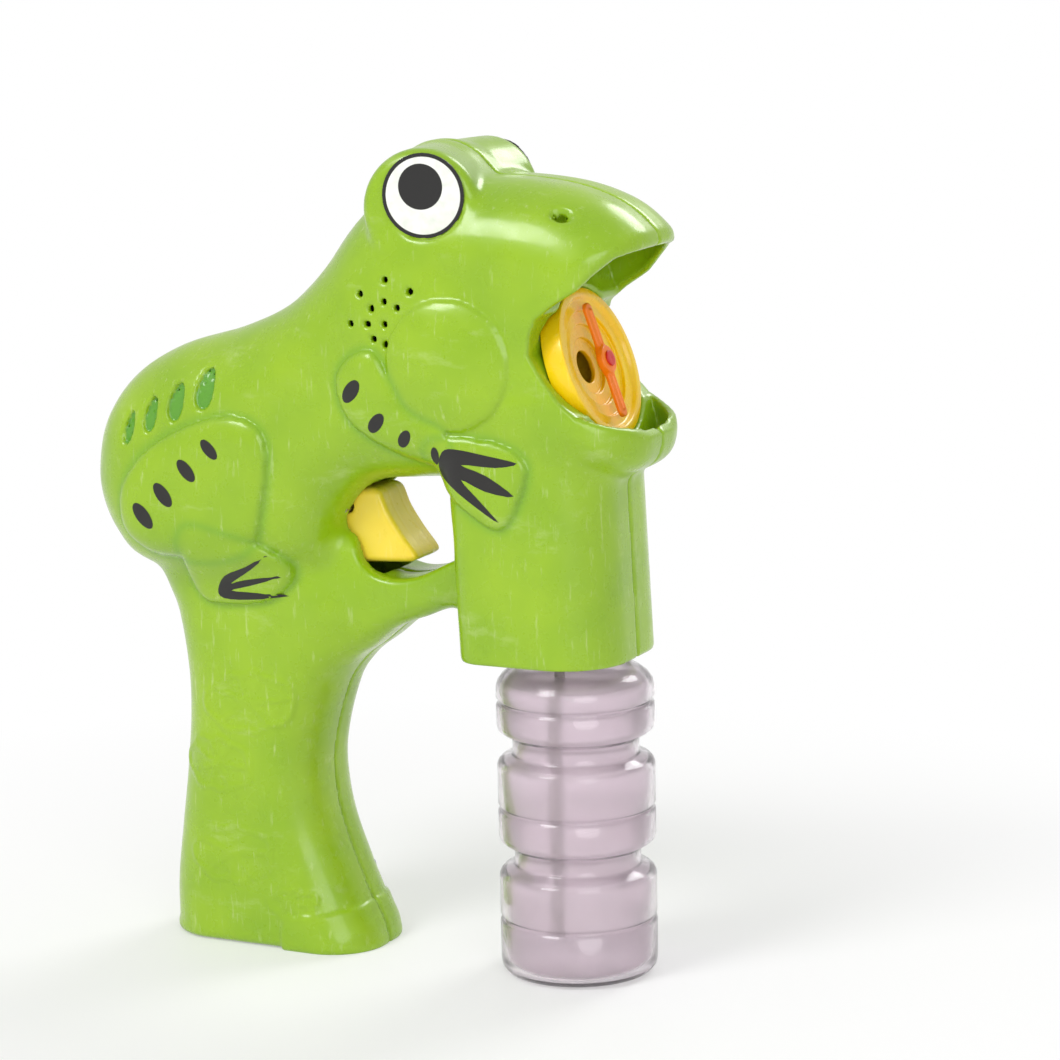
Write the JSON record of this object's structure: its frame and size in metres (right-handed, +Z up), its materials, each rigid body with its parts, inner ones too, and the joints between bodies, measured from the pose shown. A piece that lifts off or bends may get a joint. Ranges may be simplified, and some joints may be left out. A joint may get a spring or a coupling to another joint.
{
  "type": "bubble machine",
  "caption": "Hand-held frog-shaped bubble machine with a trigger, a ring and wiper in the open mouth, a geared fan and pump inside, and a screw-on bottle of solution.",
  "frame": {"origin": "middle of the footprint, on the plane that the grip and the bottle stand on", "axes": "+X is the way the mouth faces, +Z up along the bottle axis, +Y to the side that carries the battery door; the shell halves meet on the plane Y = 0"},
  "size_m": [0.1486, 0.0518, 0.2015],
  "materials": {
    "green_plastic": "gloss",
    "eye_print": "printed label",
    "yellow_plastic": "gloss",
    "trigger_plastic": "gloss",
    "orange_plastic": "gloss",
    "white_plastic": "satin",
    "black_plastic": "satin",
    "clear_tube": "satin",
    "seal_rubber": "matte",
    "steel": "satin",
    "brass": "satin",
    "battery_wrap": "gloss",
    "circuit_board": "satin",
    "bottle_plastic": "clear gloss",
    "solution": "clear liquid"
  },
  "bodies": {
    "housing": {"right_shell": "green_plastic", "left_shell": "green_plastic", "right_eye": "eye_print", "left_eye": "eye_print", "mouth_ring": "yellow_plastic", "air_chamber": "yellow_plastic", "pump_housing": "white_plastic", "pump_tube": "clear_tube", "gear_frame": "white_plastic", "gear_axle": "steel", "motor_can": "steel", "fan_housing": "white_plastic", "air_duct": "white_plastic", "trigger_pin": "steel", "trigger_spring": "steel", "trigger_switch": "black_plastic", "battery_tray": "black_plastic", "speaker": "black_plastic", "circuit_board": "circuit_board", "neck_cap": "white_plastic", "dip_tube": "clear_tube", "battery_1": "battery_wrap", "battery_spring_1": "steel", "battery_contact_1": "steel", "battery_2": "battery_wrap", "battery_spring_2": "steel", "battery_contact_2": "steel", "battery_3": "battery_wrap", "battery_spring_3": "steel", "battery_contact_3": "steel", "shell_screw_1": "steel", "shell_screw_2": "steel", "shell_screw_3": "steel", "shell_screw_4": "steel", "shell_screw_5": "steel", "shell_screw_6": "steel"},
    "trigger_body": {"trigger": "trigger_plastic"},
    "fan_rotor": {"fan": "white_plastic", "motor_shaft": "steel", "motor_pinion": "brass"},
    "gear_pair": {"compound_gear": "white_plastic"},
    "pump_body": {"pump_rotor": "white_plastic", "wiper": "orange_plastic"},
    "roller_a": {"pump_roller_1": "white_plastic"},
    "roller_b": {"pump_roller_2": "white_plastic"},
    "roller_c": {"pump_roller_3": "white_plastic"},
    "bottle_body": {"bottle": "bottle_plastic", "bubble_solution": "solution", "neck_seal": "seal_rubber"},
    "door_body": {"battery_door": "green_plastic"}
  },
  "joints": [
    {"name": "trigger_pull", "type": "hinge", "parent": "housing", "child": "trigger_body", "pos_m": [-0.007, 0, 0.1125], "axis": [0, 1, 0], "range_deg": [0, 9], "stiffness_Nm_per_rad": 0.25, "springref_deg": -17.19},
    {"name": "fan_spin", "type": "hinge", "parent": "housing", "child": "fan_rotor", "pos_m": [-0.00028, 0, 0.12868], "axis": [0.9397, 0, 0.342], "continuous": true},
    {"name": "gear_spin", "type": "hinge", "parent": "housing", "child": "gear_pair", "pos_m": [0.01159, 0, 0.14577], "axis": [0.9397, 0, 0.342], "continuous": true},
    {"name": "pump_spin", "type": "hinge", "parent": "housing", "child": "pump_body", "pos_m": [0.02791, 0, 0.13894], "axis": [0.9397, 0, 0.342], "continuous": true},
    {"name": "roller_a_spin", "type": "hinge", "parent": "pump_body", "child": "roller_a", "pos_m": [0.02673, 0, 0.14511], "axis": [0.9397, 0, 0.342], "continuous": true},
    {"name": "roller_b_spin", "type": "hinge", "parent": "pump_body", "child": "roller_b", "pos_m": [0.02991, 0.00537, 0.13637], "axis": [0.9397, 0, 0.342], "continuous": true},
    {"name": "roller_c_spin", "type": "hinge", "parent": "pump_body", "child": "roller_c", "pos_m": [0.02991, -0.00537, 0.13637], "axis": [0.9397, 0, 0.342], "continuous": true},
    {"name": "bottle_removal", "type": "slide", "parent": "housing", "child": "bottle_body", "axis": [0, 0, -1], "range_m": [0, 0.095]},
    {"name": "battery_door_removal", "type": "slide", "parent": "housing", "child": "door_body", "axis": [0, 1, 0], "range_m": [0, 0.04]}
  ],
  "couplings": [
    {"joint": "gear_spin", "follows": "fan_spin", "ratio": -0.33333},
    {"joint": "pump_spin", "follows": "fan_spin", "ratio": 0.11111},
    {"joint": "roller_a_spin", "follows": "fan_spin", "ratio": -0.35714},
    {"joint": "roller_b_spin", "follows": "fan_spin", "ratio": -0.35714},
    {"joint": "roller_c_spin", "follows": "fan_spin", "ratio": -0.35714}
  ]
}
